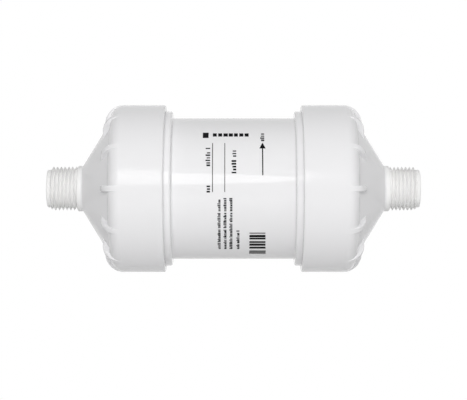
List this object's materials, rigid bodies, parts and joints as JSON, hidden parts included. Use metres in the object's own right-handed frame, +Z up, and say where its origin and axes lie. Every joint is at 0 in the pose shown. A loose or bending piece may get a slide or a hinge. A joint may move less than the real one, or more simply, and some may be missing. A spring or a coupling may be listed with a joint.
{
  "type": "in-line antibacterial filter",
  "caption": "Sealed in-line filter: a white cylindrical body between ribbed conical end caps, each with a male threaded nipple; water flows in one end and out the other.",
  "frame": {"origin": "middle of the filter, on its axis, halfway between the two nipple ends", "axes": "+X with the flow, from the inlet nipple to the outlet nipple; +Z up, with the printed side facing -Y"},
  "size_m": [0.178, 0.08, 0.08],
  "materials": {
    "cap_white": "smooth white moulded plastic, semi-gloss",
    "body_white": "smooth white moulded plastic, semi-gloss, printed in dark grey",
    "element_plastic": "natural moulded plastic, satin",
    "seal_rubber": "black moulded rubber, satin",
    "support_web": "white non-woven web",
    "filter_web": "fine white filter web"
  },
  "bodies": {
    "root": {"body_shell": "body_white", "inlet_end_cap": "cap_white", "outlet_end_cap": "cap_white", "closed_end_plate": "element_plastic", "outlet_end_plate": "element_plastic", "element_core": "element_plastic", "element_cage": "element_plastic", "spigot_seals": "seal_rubber", "outer_support_web": "support_web", "filter_web": "filter_web", "inner_support_web": "support_web"}
  },
  "joints": []
}
